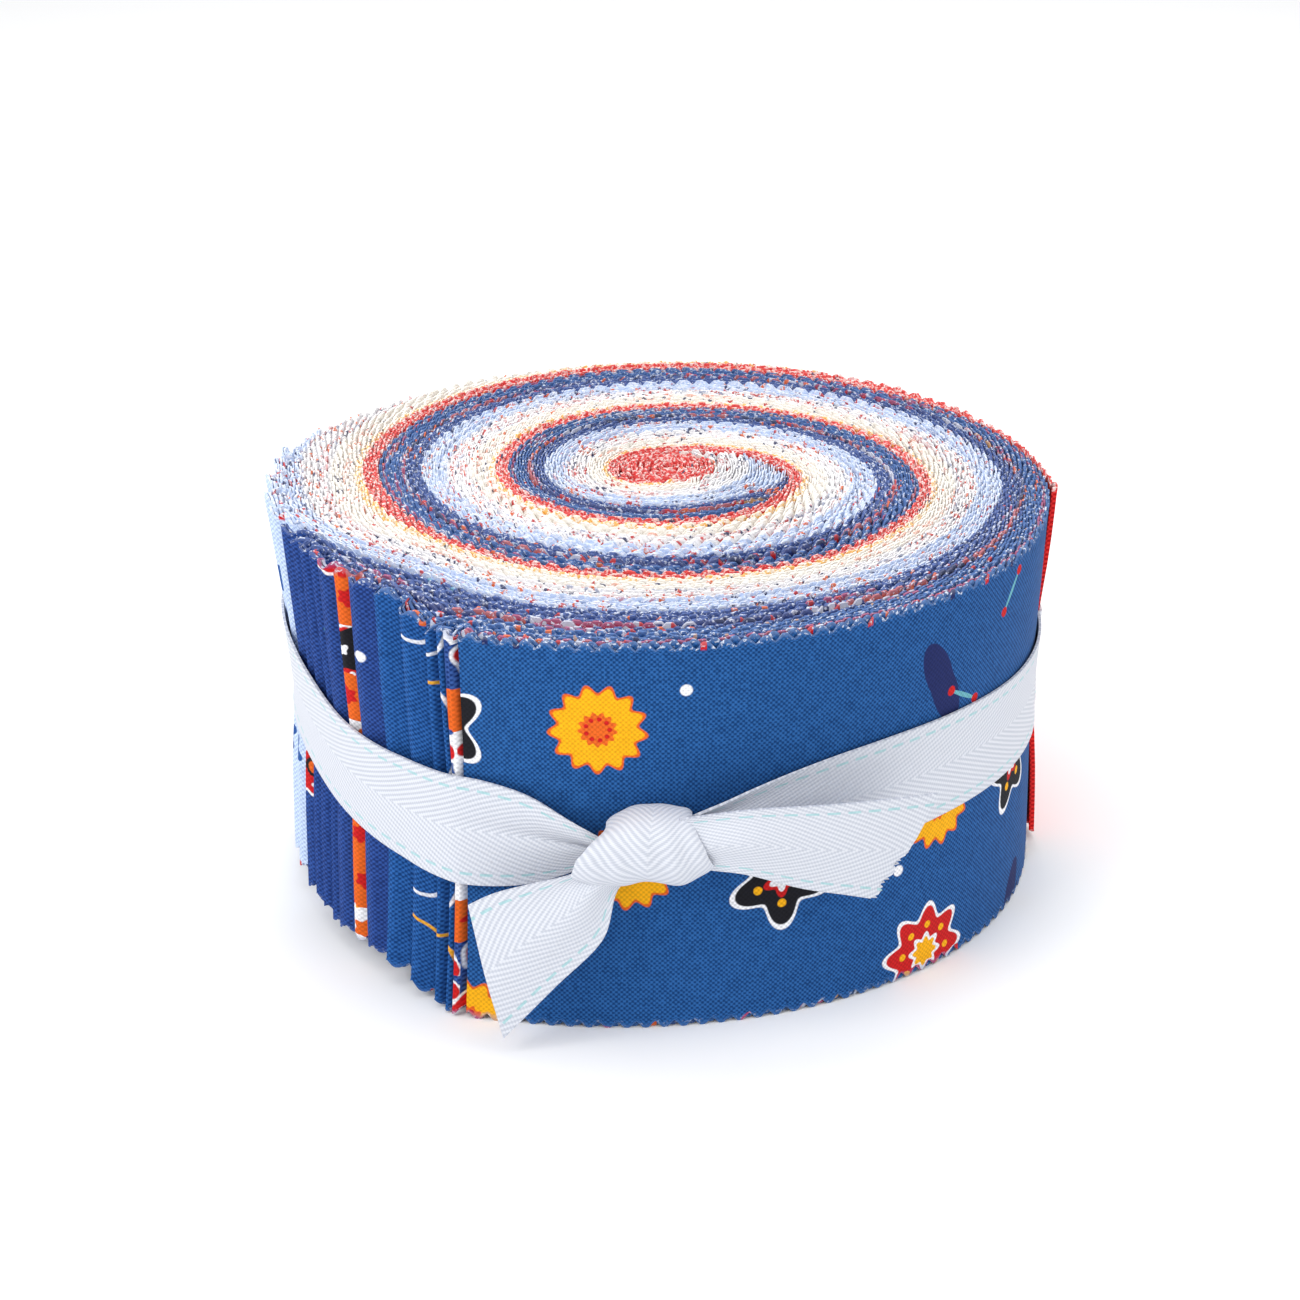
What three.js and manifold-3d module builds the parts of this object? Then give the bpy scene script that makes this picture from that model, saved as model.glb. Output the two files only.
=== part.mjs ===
// A roll of forty pre-cut cotton strips with pinked edges, tied round its middle with a twill ribbon.
// Millimetres, +Z up. The origin is the centre of the winding, on the bottom face.
// Angles are in degrees, clockwise seen from above: 0 is +X, 90 is the front (-Y), 180 is -X.

import * as THREE from 'three';
import { mergeVertices } from 'three/addons/utils/BufferGeometryUtils.js';
import Module from 'manifold-3d';

// Strips
const stripWidth = 63.5;          // 2.5 in, and so the height of the roll
const stripCount = 40;
const foldedStrip = 0.5;          // a strip folded in half, two layers of cotton
const toothPitch = 2.9;           // pinked edge
const toothDepth = 1.15;

// Winding: the stack of strips makes three turns, and its inner face runs along one spiral
const stackPitch = stripCount * foldedStrip;
const coreTurns = 0.16;           // part of a turn taken up by the tight core
const ovalCos = 1.6;              // the winding is a little oval
const ovalSin = 0.75;
const outerTurn = 2;              // whole turns below the outermost one
const rollSlack = 0.3;
const looseExtra = 0.15;          // a strip's extra thickness where the outer turn is slack
const looseAngle = 140;
const looseSpread = 50;

// Where the folded ends of the strips lie, counted from the outermost strip
const foldEnds = [
  { strip: 0, angle: 119 },
  { strip: 4, angle: 128 },
  { strip: 11, angle: 156 },
  { strip: 16, angle: 180 },
  { strip: 28, angle: 225 },
  { strip: 32, angle: 250 },
  { strip: 39, angle: 365 },
];
const foldStepAngle = 0.15;       // half the angle over which the wall steps down at a fold

// Wall: drawn in at the ribbon, by these amounts at these heights
const wallRows = [
  { height: 0, inset: 0 },
  { height: 14, inset: 0.4 },
  { height: 33, inset: 1.0 },
  { height: 50, inset: 0.4 },
  { height: stripWidth, inset: 0 },
];

// The strips that end on the left have slid up by a few millimetres
const lift = 3;
const liftStart = [123, 130];
const liftEnd = [168, 215];
const rimBevel = 1.5;
const liftBand = 8;

// Spiral groove between one turn of the stack and the next
const grooveWidth = 1.1;
const grooveDepth = 1.2;
const grooveTurns = [0.5, 2.98];
const grooveSteps = 78;

// Ribbon
const clearance = 0.3;
const ribbonThickness = 1;
const bandSteps = 120;
const bandRows = [
  { angle: 0, centre: 33.8, half: 8.3 },
  { angle: 60, centre: 34.8, half: 8.3 },
  { angle: 75, centre: 34.3, half: 8.0 },
  { angle: 88, centre: 33.6, half: 5.4 },
  { angle: 99, centre: 32.2, half: 5.4 },
  { angle: 111, centre: 31.8, half: 8.3 },
  { angle: 126, centre: 31.2, half: 8.5 },
  { angle: 140, centre: 32.8, half: 8.5 },
  { angle: 153, centre: 37.0, half: 8.5 },
  { angle: 185, centre: 39.0, half: 8.4 },
  { angle: 235, centre: 38.5, half: 8.3 },
  { angle: 300, centre: 35.5, half: 8.3 },
  { angle: 360, centre: 33.8, half: 8.3 },
];
const knotSize = new THREE.Vector3(10.2, 4.3, 6.4);    // half its width, depth and height
const knotAngle = 94;
const knotHeight = 33.6;
const knotTilt = -8;
const knotSquare = 0.8;           // below 1 the knot is boxier than an ellipsoid
const knotCrease = 0.05;
const knotCreases = 5;

// Free ends: top and bottom edge of each station, from inside the knot to the cut
const leftTail = [
  { top: [-7, -66, 33.0], bottom: [-4, -66, 29.5] },
  { top: [-14.8, -66.8, 29.4], bottom: [-8.6, -67, 26.7] },
  { top: [-21.3, -67.2, 27.8], bottom: [-10.9, -67.8, 18.8] },
  { top: [-26.4, -67, 26.1], bottom: [-17.9, -68.6, 11.2] },
  { top: [-30.1, -66.2, 23.7], bottom: [-25.5, -69, 2.6] },
];
const rightTail = [
  { top: [-4, -66.6, 37.2], bottom: [-4, -66.6, 31.6] },
  { top: [3, -67.4, 38.9], bottom: [3.8, -67.4, 30.3] },
  { top: [10.9, -67.5, 40.1], bottom: [9.5, -68, 29.8] },
  { top: [21.8, -65, 39.5], bottom: [17.5, -66, 26.4] },
  { top: [30.3, -61.5, 38.5], bottom: [24.2, -64, 24.1] },
  { top: [37.5, -57.5, 37.3], bottom: [28.6, -61.5, 21.9] },
];
const tailSteps = 12;
const tailAcross = 4;
const tailBow = 0.9;              // how far the middle of a free end stands out

const wasm = await Module();
wasm.setup();

const radians = THREE.MathUtils.degToRad;
const lerp = THREE.MathUtils.lerp;

// Value of a column of a table at a place between two rows
function lookUp(table, key, place, column, ease = (u) => u) {
  const last = table.findIndex((row) => row[key] >= place);
  if (last <= 0) return table[last < 0 ? table.length - 1 : 0][column];
  const from = table[last - 1];
  const to = table[last];
  return lerp(from[column], to[column], ease((place - from[key]) / (to[key] - from[key])));
}

const smooth = (u) => THREE.MathUtils.smoothstep(u, 0, 1);
const foldAngle = (strip) => lookUp(foldEnds, 'strip', strip, 'angle');
const lastFold = foldAngle(stripCount - 1);
const turnOf = (angle) => (angle < lastFold - 360 ? angle + 360 : angle);

// Radius of the stack's inner face after so many turns
function spiralRadius(turns) {
  const twice = radians(720 * turns);
  return stackPitch * (turns - coreTurns) + ovalCos * Math.cos(twice) + ovalSin * Math.sin(twice);
}

// Outside of the winding with so many strips still wrapped there
function woundRadius(angle, strips) {
  const slack = looseExtra * Math.exp(-(((angle - looseAngle) / looseSpread) ** 2));
  return spiralRadius(outerTurn + angle / 360) + strips * (foldedStrip + slack) + rollSlack;
}

function stripsLeft(angle) {
  let count = 0;
  for (let strip = 0; strip < stripCount; strip++) if (foldAngle(strip) > angle) count++;
  return count;
}

// Wall with its steps, and the smooth wall that touches every fold
const steppedRadius = (angle) => woundRadius(turnOf(angle), stripsLeft(turnOf(angle)));
function smoothRadius(angle) {
  const turn = turnOf(angle);
  const ended = turn <= foldEnds[0].angle ? 0 : lookUp(foldEnds, 'angle', turn, 'strip');
  return woundRadius(turn, stripCount - ended);
}
const wallInset = (height) => lookUp(wallRows, 'height', height, 'inset');

function toothDrop(angle) {
  const place = (angle / 360) * toothCount;
  return toothDepth * Math.abs(2 * (place - Math.floor(place)) - 1);
}

function liftAt(angle) {
  const { smoothstep } = THREE.MathUtils;
  return lift * smoothstep(angle, ...liftStart) * (1 - smoothstep(angle, ...liftEnd));
}

const meanRadius = spiralRadius(outerTurn + 1);
const toothCount = Math.round((2 * Math.PI * meanRadius) / toothPitch);

const around = (radius, angle, height) =>
  new THREE.Vector3(radius * Math.cos(radians(angle)), -radius * Math.sin(radians(angle)), height);

// Closed solid from a grid of points, columns[i][j]. The grid closes on itself along j,
// and along i too if it is a loop. Otherwise each end is capped by a fan from its centre.
function gridSolid(columns, loop) {
  const rows = columns[0].length;
  const points = columns.flat();
  const faces = [];
  const last = loop ? columns.length : columns.length - 1;
  for (let i = 0; i < last; i++) {
    for (let j = 0; j < rows; j++) {
      const a = i * rows + j;
      const b = i * rows + ((j + 1) % rows);
      const c = ((i + 1) % columns.length) * rows + ((j + 1) % rows);
      const d = ((i + 1) % columns.length) * rows + j;
      faces.push(a, b, c, a, c, d);
    }
  }
  if (!loop) {
    for (const end of [0, columns.length - 1]) {
      const centre = points.length;
      const sum = new THREE.Vector3();
      columns[end].forEach((point) => sum.add(point));
      points.push(sum.divideScalar(rows));
      for (let j = 0; j < rows; j++) {
        const a = end * rows + j;
        const b = end * rows + ((j + 1) % rows);
        faces.push(...(end === 0 ? [centre, b, a] : [centre, a, b]));
      }
    }
  }
  const geometry = new THREE.BufferGeometry().setFromPoints(points);
  geometry.setIndex(faces);
  return geometry;
}

function volumeOf(geometry) {
  const { position } = geometry.attributes;
  const { index } = geometry;
  const corner = (k) => new THREE.Vector3().fromBufferAttribute(position, index.getX(k));
  let volume = 0;
  for (let k = 0; k < index.count; k += 3) {
    volume += corner(k).dot(corner(k + 1).cross(corner(k + 2))) / 6;
  }
  return volume;
}

function toSolid(geometry) {
  geometry.deleteAttribute('normal');
  geometry.deleteAttribute('uv');
  const merged = mergeVertices(geometry, 1e-4);
  const triVerts = new Uint32Array(merged.index.array);
  if (volumeOf(merged) < 0) triVerts.reverse();
  const vertProperties = new Float32Array(merged.attributes.position.array);
  return new wasm.Manifold(new wasm.Mesh({ numProp: 3, vertProperties, triVerts }));
}

function toMesh(name, solid, material) {
  const { vertProperties, triVerts } = solid.getMesh();
  const geometry = new THREE.BufferGeometry();
  geometry.setAttribute('position', new THREE.BufferAttribute(vertProperties, 3));
  geometry.setIndex(new THREE.BufferAttribute(triVerts, 1));
  geometry.computeVertexNormals();
  const mesh = new THREE.Mesh(geometry, material);
  mesh.name = name;
  return mesh;
}

// Wound roll: rings from the bottom face, up the wall, to the top face
function rollColumns() {
  const folds = [];
  for (let strip = 0; strip < stripCount; strip++) {
    folds.push(foldAngle(strip) - foldStepAngle, foldAngle(strip) + foldStepAngle);
  }
  const angles = folds.map((angle) => ((angle % 360) + 360) % 360);
  const between = (a, b) => Math.abs((((a - b) % 360) + 540) % 360 - 180);
  for (let k = 0; k < 2 * toothCount; k++) {
    const angle = (k * 180) / toothCount;
    if (folds.every((fold) => between(fold, angle) > 2 * foldStepAngle)) angles.push(angle);
  }
  return angles.sort((a, b) => a - b);
}

function windRoll() {
  const angles = rollColumns();
  const ring = (inward, heightAt) => angles.map((angle) => {
    const height = heightAt(angle);
    const inset = wallInset(THREE.MathUtils.clamp(height, 0, stripWidth));
    return around(steppedRadius(angle) - inset - inward, angle, height);
  });
  const middle = wallRows.slice(1, -1);
  return toSolid(gridSolid([
    ring(liftBand, () => 0),
    ring(rimBevel, liftAt),
    ring(0, (angle) => liftAt(angle) + toothDrop(angle)),
    ...middle.map((row) => ring(0, () => row.height)),
    ring(0, (angle) => stripWidth + liftAt(angle) - toothDrop(angle)),
    ring(rimBevel, (angle) => stripWidth + liftAt(angle)),
    ring(liftBand, () => stripWidth),
  ], false));
}

// V-shaped cutter along the spiral, opening at the given face and pointing into the roll
function grooveCutter(face, inward) {
  const sections = [];
  for (let step = 0; step <= grooveSteps; step++) {
    const turns = lerp(...grooveTurns, step / grooveSteps);
    const radius = spiralRadius(turns);
    const angle = 360 * turns;
    sections.push([
      around(radius - grooveWidth, angle, face - inward * grooveDepth),
      around(radius + grooveWidth, angle, face - inward * grooveDepth),
      around(radius, angle, face + inward * grooveDepth),
    ]);
  }
  return toSolid(gridSolid(sections, false));
}

// Band of the ribbon, wrapped over the smooth wall
function wrapBand() {
  const sections = [];
  for (let step = 0; step < bandSteps; step++) {
    const angle = (360 * step) / bandSteps;
    const centre = lookUp(bandRows, 'angle', angle, 'centre', smooth);
    const half = lookUp(bandRows, 'angle', angle, 'half', smooth);
    const heights = [centre - half, centre, centre + half];
    const face = (off) => heights.map((height) =>
      around(smoothRadius(angle) - wallInset(height) + off, angle, height));
    sections.push([...face(clearance), ...face(clearance + ribbonThickness).reverse()]);
  }
  return toSolid(gridSolid(sections, true));
}

function tieKnot() {
  const geometry = new THREE.SphereGeometry(1, 28, 18);
  const position = geometry.attributes.position;
  const point = new THREE.Vector3();
  const square = (value) => Math.sign(value) * Math.abs(value) ** knotSquare;
  for (let k = 0; k < position.count; k++) {
    point.fromBufferAttribute(position, k);
    const crease = 1 + knotCrease * Math.cos(knotCreases * (point.x + point.z)) * (1 - point.y * point.y);
    point.set(square(point.x), square(point.y), square(point.z)).multiplyScalar(crease).multiply(knotSize);
    position.setXYZ(k, point.x, point.y, point.z);
  }
  geometry.rotateY(radians(knotTilt));
  const wall = smoothRadius(knotAngle) - wallInset(knotHeight);
  const seat = wall + clearance + ribbonThickness / 3 + knotSize.y;
  const centre = around(seat, knotAngle, knotHeight);
  geometry.translate(centre.x, centre.y, centre.z);
  return toSolid(geometry);
}

// Free end of the ribbon, a sheet between its two edges
function hangTail(stations) {
  const points = (side) => stations.map((station) => new THREE.Vector3(...station[side]));
  const edge = (side) => new THREE.CatmullRomCurve3(points(side));
  const top = edge('top');
  const bottom = edge('bottom');
  const sections = [];
  for (let step = 0; step <= tailSteps; step++) {
    const along = step / tailSteps;
    const from = top.getPoint(along);
    const to = bottom.getPoint(along);
    const across = to.clone().sub(from);
    const outward = top.getTangent(along).cross(across).normalize();
    if (outward.y > 0) outward.negate();
    const face = (off) => Array.from({ length: tailAcross + 1 }, (_, k) => {
      const share = k / tailAcross;
      const bow = tailBow * Math.sin(Math.PI * share);
      return from.clone().addScaledVector(across, share).addScaledVector(outward, bow + off);
    });
    sections.push([...face(0), ...face(ribbonThickness).reverse()]);
  }
  return toSolid(gridSolid(sections, false));
}

const cotton = new THREE.MeshStandardMaterial({ color: 0x3f6ea8, roughness: 0.9, metalness: 0 });
const twill = new THREE.MeshStandardMaterial({ color: 0xf1f4fa, roughness: 0.75, metalness: 0 });

const roll = windRoll().subtract(grooveCutter(stripWidth, -1)).subtract(grooveCutter(0, 1));
const ribbon = wrapBand().add(tieKnot()).add(hangTail(leftTail)).add(hangTail(rightTail));

const stripRoll = new THREE.Group();
stripRoll.add(toMesh('roll', roll, cotton));
stripRoll.add(toMesh('ribbon', ribbon, twill));

export default stripRoll;
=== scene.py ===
import math

import bpy
import numpy as np
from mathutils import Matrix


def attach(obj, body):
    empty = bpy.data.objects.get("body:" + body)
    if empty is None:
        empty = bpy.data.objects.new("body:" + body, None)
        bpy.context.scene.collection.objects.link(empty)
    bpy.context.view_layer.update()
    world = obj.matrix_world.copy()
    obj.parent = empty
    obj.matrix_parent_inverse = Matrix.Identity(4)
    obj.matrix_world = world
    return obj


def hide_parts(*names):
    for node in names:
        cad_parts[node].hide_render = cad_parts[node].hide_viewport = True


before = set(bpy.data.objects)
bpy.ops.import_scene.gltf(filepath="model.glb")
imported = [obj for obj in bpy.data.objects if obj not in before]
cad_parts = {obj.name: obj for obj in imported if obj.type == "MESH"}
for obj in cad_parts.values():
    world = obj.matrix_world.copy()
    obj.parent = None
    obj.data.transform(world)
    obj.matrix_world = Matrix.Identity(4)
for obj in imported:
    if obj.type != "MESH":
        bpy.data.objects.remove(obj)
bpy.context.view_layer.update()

scene = bpy.context.scene
mm = 0.001                           # the sizes below are in millimetres
rng = np.random.default_rng(7)

# Angles are in degrees, clockwise from above: 0 is +X, 90 is the front (-Y), 180 is -X

# Camera and light

cameraLook = {
    "place": (-4.08, -410.58, 230.41),
    "tilt": 64.24,                   # degrees up from straight down
    "lens": 76.79,
    "sensor": 36,
    "clip": (0.02, 20),              # nearest and furthest that it sees, in metres
}

lights = [
    {"name": "keyLight", "place": (-420, -320, 460), "width": 330, "power": 1.8},
    {"name": "fillLight", "place": (420, -380, 320), "width": 420, "power": 0.6},
    {"name": "backLight", "place": (60, 420, 460), "width": 420, "power": 1.0},
    {"name": "topLight", "place": (0, -20, 640), "width": 420, "power": 0.8},
]
room = {"sky": 0.8, "aimHeight": 30, "floorSize": 3000, "floorColor": (0.95, 0.955, 0.965)}


def srgb(red, green, blue):          # a colour as a picture gives it, 0 to 255, for the shader
    parts = [value / 255 for value in (red, green, blue)]
    linear = [p / 12.92 if p <= 0.04045 else ((p + 0.055) / 1.055) ** 2.4 for p in parts]
    return (*linear, 1.0)


def placeCamera():
    data = bpy.data.cameras.new("mainCamera")
    data.lens, data.sensor_width = cameraLook["lens"], cameraLook["sensor"]
    data.clip_start, data.clip_end = cameraLook["clip"]
    camera = bpy.data.objects.new("mainCamera", data)
    camera.location = [value * mm for value in cameraLook["place"]]
    camera.rotation_euler = (math.radians(cameraLook["tilt"]), 0, 0)
    scene.collection.objects.link(camera)
    scene.camera = camera


def placeLights():
    for light in lights:
        data = bpy.data.lights.new(light["name"], "AREA")
        data.size, data.energy = light["width"] * mm, light["power"]
        lamp = bpy.data.objects.new(light["name"], data)
        lamp.location = [value * mm for value in light["place"]]
        aim = lamp.location.copy()
        aim.z -= room["aimHeight"] * mm
        lamp.rotation_euler = aim.to_track_quat("Z", "Y").to_euler()
        scene.collection.objects.link(lamp)
    world = bpy.data.worlds.new("studio")
    world.use_nodes = True
    sky = world.node_tree.nodes["Background"].inputs
    sky["Color"].default_value = (1, 1, 1, 1)
    sky["Strength"].default_value = room["sky"]
    scene.world = world
    scene.view_settings.view_transform = "Standard"


placeCamera()
placeLights()
print("camera and lights placed")


# Materials: a Wire is one output socket, and sums of wires add their Math nodes

class Wire:
    def __init__(self, sheet, socket):
        self.sheet, self.socket = sheet, socket

    def sum(self, operation, *values):
        return self.sheet.node("ShaderNodeMath", {"operation": operation}, values)

    def __add__(self, other):
        return self.sum("ADD", self, other)

    def __radd__(self, other):
        return self.sum("ADD", other, self)

    def __sub__(self, other):
        return self.sum("SUBTRACT", self, other)

    def __rsub__(self, other):
        return self.sum("SUBTRACT", other, self)

    def __mul__(self, other):
        return self.sum("MULTIPLY", self, other)

    def __rmul__(self, other):
        return self.sum("MULTIPLY", other, self)

    def __truediv__(self, other):
        return self.sum("DIVIDE", self, other)

    def __rtruediv__(self, other):
        return self.sum("DIVIDE", other, self)

    def below(self, other):
        return self.sum("LESS_THAN", self, other)

    def above(self, other):
        return self.sum("GREATER_THAN", self, other)

    def power(self, other):
        return self.sum("POWER", self, other)

    def size(self):
        return self.sum("ABSOLUTE", self)

    def sine(self):
        return self.sum("SINE", self)

    def cosine(self):
        return self.sum("COSINE", self)

    def whole(self):
        return self.sum("FLOOR", self)

    def part(self):
        return self.sum("FRACT", self)

    def ramp(self, low, high):       # 0 below low and 1 above high, smooth between
        sockets = {"Value": self, "From Min": low, "From Max": high}
        return self.sheet.node("ShaderNodeMapRange", {"interpolation_type": "SMOOTHSTEP"}, sockets)


class Sheet:                         # one material and its nodes
    def __init__(self, name, **constants):
        self.material = bpy.data.materials.new(name)
        self.material.use_nodes = True
        self.tree = self.material.node_tree
        self.shader = self.tree.nodes["Principled BSDF"]
        for key, value in constants.items():
            self.shader.inputs[key].default_value = value

    def node(self, kind, settings, sockets, output=0):
        made = self.tree.nodes.new(kind)
        for key, value in settings.items():
            setattr(made, key, value)
        pairs = sockets.items() if isinstance(sockets, dict) else enumerate(sockets)
        for key, value in pairs:
            if isinstance(value, Wire):
                self.tree.links.new(value.socket, made.inputs[key])
            else:
                made.inputs[key].default_value = value
        return Wire(self, made.outputs[output])

    def feed(self, key, wire):
        self.tree.links.new(wire.socket, self.shader.inputs[key])

    def mix(self, share, first, second):
        return self.node("ShaderNodeMix", {"data_type": "RGBA"}, {0: share, 6: first, 7: second}, 2)

    def noise(self, place, scale):
        return self.node("ShaderNodeTexNoise", {}, {"Vector": place, "Scale": scale, "Detail": 2.0})

    def vector(self, x, y, z=0.0):
        return self.node("ShaderNodeCombineXYZ", {}, [x, y, z])

    def axes(self, place):
        made = self.tree.nodes.new("ShaderNodeSeparateXYZ")
        self.tree.links.new(place.socket, made.inputs[0])
        return [Wire(self, out) for out in made.outputs]

    def random(self, place):         # three random numbers that stay the same over a cell
        seed = self.node("ShaderNodeTexWhiteNoise", {"noise_dimensions": "3D"}, {"Vector": place}, 1)
        return self.axes(seed)

    def clothPlace(self):            # along and across the cloth, in millimetres
        along, across, _ = self.axes(self.node("ShaderNodeUVMap", {"uv_map": "cloth"}, []))
        return along * 1000, across * 1000

    def objectPlace(self):
        return self.node("ShaderNodeTexCoord", {}, [], 3)


# Winding: the same sizes and functions as the solid has

winding = {
    "stripWidth": 63.5,
    "stripCount": 40,
    "foldedStrip": 0.5,              # two layers
    "layer": 0.21,
    "toothPitch": 2.9,
    "toothDepth": 1.15,
    "toothRound": (0.12, 1.1),       # how blunt the tips are, and how sharp the notches
    "stackPitch": 20,
    "coreTurns": 0.16,
    "ovalCos": 1.6,
    "ovalSin": 0.75,
    "looseExtra": 0.15,
    "looseAngle": 140,
    "looseSpread": 50,
    "lift": 3,                       # the strips that end on the left have slid up
    "liftStart": (123, 130),
    "liftEnd": (168, 215),
    "flapRise": 1.3,                 # the last fold stands off the wall
    "flareOut": 1.3,                 # the outermost folds open at the bottom
    "puckered": 27,                  # strips further out than this are slack in the outer turn
    "layerGap": (0.4, 1.1),          # least and most room of one strip's two layers
    "frayed": 0.5,                   # most that the cut edge thickens where it has room
    "tucked": 0.4,                   # the strips behind the outermost one end this much higher up
    "roughEdge": (0.06, 0.04),       # how uneven the cut edge is upwards and sideways
    "outerFade": (-0.02, 0.05),      # turns over which the winding passes into its outer turn
    "splitBack": 3,                  # degrees that a strip's outside piece starts before it shows
    "printShift": 613,               # how much further on the print starts from strip to strip
}
layerDepths = {"inner": 0.25, "outer": 0.75}  # place of each layer in its folded strip
accidents = {                        # spreads of the small differences between strips
    "teeth": 0.1,
    "height": 0.14,
    "bow": (0.15, 0.3),
    "teethWaves": ((0.16, 41), (0.1, 17)),  # size and length of the waves along a strip
    "heightWaves": ((0.1, 23), (0.07, 9)),
    "standOut": 0.3,                 # most that a strip stands above the others
}
pleats = {                           # folds that show on the wall, one beside the other
    "strips": 18,
    "radius": 62,
    "widest": 3.2,
    "share": 0.35,                   # of the way from fold to fold
    "bulge": 0.8,                    # a fold is thicker than the two layers behind it
    "bulgeAt": 0.85,
    "dip": 1.0,                      # the next strip lies lower beside it
}
settle = {                           # how the cloth gives way, and how far that reaches
    "outerFrom": 1.7,                # turns from which a strip can lie near the wall
    "squeezeIn": 6,                  # inwards from the wall
    "liftIn": 5.5,
    "pleatIn": 4,
    "flareBack": 7,                  # backwards from the fold
    "flapBack": 5,
    "bowBack": 3.5,
    "flareStrips": 5,
    "flareShare": 0.42,              # of the height
    "tied": (0.7, 0.52, 0.16),       # the ribbon flattens the pleats: how much, and where
    "held": (0.54, 0.24),            # the ribbon holds the last fold here
    "frayFrom": 58,                  # height from which the edge thickens
}
wallEnds = {"strip": (0, 4, 11, 16, 28, 32, 39), "angle": (119, 128, 156, 180, 225, 250, 365)}
foldEnds = {
    "strip": (0, 1, 2, 3, 4, 5, 6, 7, 8, 10, 12, 14, 16, 28, 32, 39),
    "angle": (118, 119.3, 120.9, 122.8, 127, 131.4, 135.8, 139.3, 142.8, 148.6, 155, 168, 182, 225, 250, 365),
}
pucker = {"angle": (0, 60, 115, 140, 165, 200), "extra": (0.3, 0.8, 0.9, 3.0, 4.5, 0)}
wander = {                           # how far the winding strays from its even spiral
    "turns": (0.9, 1.0, 1.07, 1.45, 1.58, 1.7, 2.02, 2.1, 2.2, 2.45, 2.52, 2.8, 2.87, 2.94, 3.03),
    "by": (0, -0.3, -2.1, -2.1, -1.7, -0.1, -0.1, -1.6, -2.1, -2.2, -0.8, -1.0, -1.3, -0.2, 0.5),
}
wallRows = {"height": (0, 14, 33, 50, 63.5), "inset": (0, 0.4, 1.0, 0.4, 0)}
leftLean = {"angle": 178, "spread": 30, "height": (0, 16, 34, 48, 63.5), "out": (-0.2, -0.2, -0.8, 0, 1.5)}
heart = {                            # the innermost strips, curled up in the middle
    "centre": (-1.3, 3.5),
    "half": (7.4, 5.9),
    "strips": 4,
    "looseFrom": 11,                 # first strip that lies loose beside the heart
    "loosePitch": 0.8,
    "looseTurns": (0.02, 0.16),
    "startBefore": 0.45,             # turns within which every strip has begun
    "room": (0.25, 0.1),             # kept free inside and outside of a strip's beginning
    "curl": (-0.9, 2.8, 0.02),       # turns of a curl, and the step along it
    "curlPitch": 2.0,
    "curlShift": 0.2,
    "hollow": 0.08,                  # the curls end before they reach the middle
}
outerTurn = 2


def smooth(value, low, high):
    share = np.clip((value - low) / (high - low), 0, 1)
    return share * share * (3 - 2 * share)


def flow(place, places, values):     # a smooth curve through the rows of a table
    places, values = np.asarray(places, float), np.asarray(values, float)
    slopes = np.gradient(values, places, axis=0)
    last = np.clip(np.searchsorted(places, place, side="right") - 1, 0, len(places) - 2)
    gap = places[last + 1] - places[last]
    t = (place - places[last]) / gap
    shape = (-1,) + (1,) * (values.ndim - 1)
    t, gap = t.reshape(shape), gap.reshape(shape)
    here, there = values[last], values[last + 1]
    return ((2 * t ** 3 - 3 * t ** 2 + 1) * here + (t ** 3 - 2 * t ** 2 + t) * gap * slopes[last]
            + (3 * t ** 2 - 2 * t ** 3) * there + (t ** 3 - t ** 2) * gap * slopes[last + 1])


def walked(line):                    # length along a line of points, at each of them
    return np.concatenate([[0], np.cumsum(np.linalg.norm(np.diff(line, axis=0), axis=1))])


def foldAngle(strip):                # strips are counted from the outermost
    return float(np.interp(strip, foldEnds["strip"], foldEnds["angle"]))


def evenSpiral(turns):
    twice = 4 * np.pi * turns
    oval = winding["ovalCos"] * np.cos(twice) + winding["ovalSin"] * np.sin(twice)
    return winding["stackPitch"] * (turns - winding["coreTurns"]) + oval


def spiralRadius(turns):
    return evenSpiral(turns) + np.interp(turns, wander["turns"], wander["by"])


def slack(angle):
    away = (angle - winding["looseAngle"]) / winding["looseSpread"]
    return winding["looseExtra"] * np.exp(-away * away)


def stripsLeft(turn, ends):          # strips still wrapped at an angle of the outer turn
    return winding["stripCount"] - np.interp(turn, ends["angle"], ends["strip"], left=0)


def wallRadius(angle):               # smooth wall that touches every fold
    last = foldAngle(winding["stripCount"] - 1)
    turn = np.mod(angle, 360)
    turn = np.where(turn < last - 360, turn + 360, turn)
    strips = stripsLeft(turn, wallEnds)
    return evenSpiral(outerTurn + turn / 360) + strips * (winding["foldedStrip"] + slack(turn))


def wallInset(angle, height):        # how far the wall is drawn in, at the ribbon most
    near = np.exp(-((np.mod(angle, 360) - leftLean["angle"]) / leftLean["spread"]) ** 2)
    out = np.interp(height, leftLean["height"], leftLean["out"])
    return np.interp(height, wallRows["height"], wallRows["inset"]) - near * out


def pleatPush(turns):                # the wall dips beside each fold and swells towards the next
    angle = 360 * (turns - outerTurn)
    push = np.zeros(len(turns))
    for strip in range(1, pleats["strips"]):
        start, end = foldAngle(strip - 1), foldAngle(strip)
        past, left = (np.radians(away) * pleats["radius"] for away in (angle - start, end - angle))
        wide = min(math.radians(end - start) * pleats["radius"], pleats["widest"]) * pleats["share"]
        dip = pleats["dip"] * np.exp(-(past / wide) ** 2)
        bulge = pleats["bulge"] * np.exp(-(left / wide - pleats["bulgeAt"]) ** 2)
        push += np.where((angle > start) & (angle <= end), bulge - dip, 0)
    return push


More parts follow.
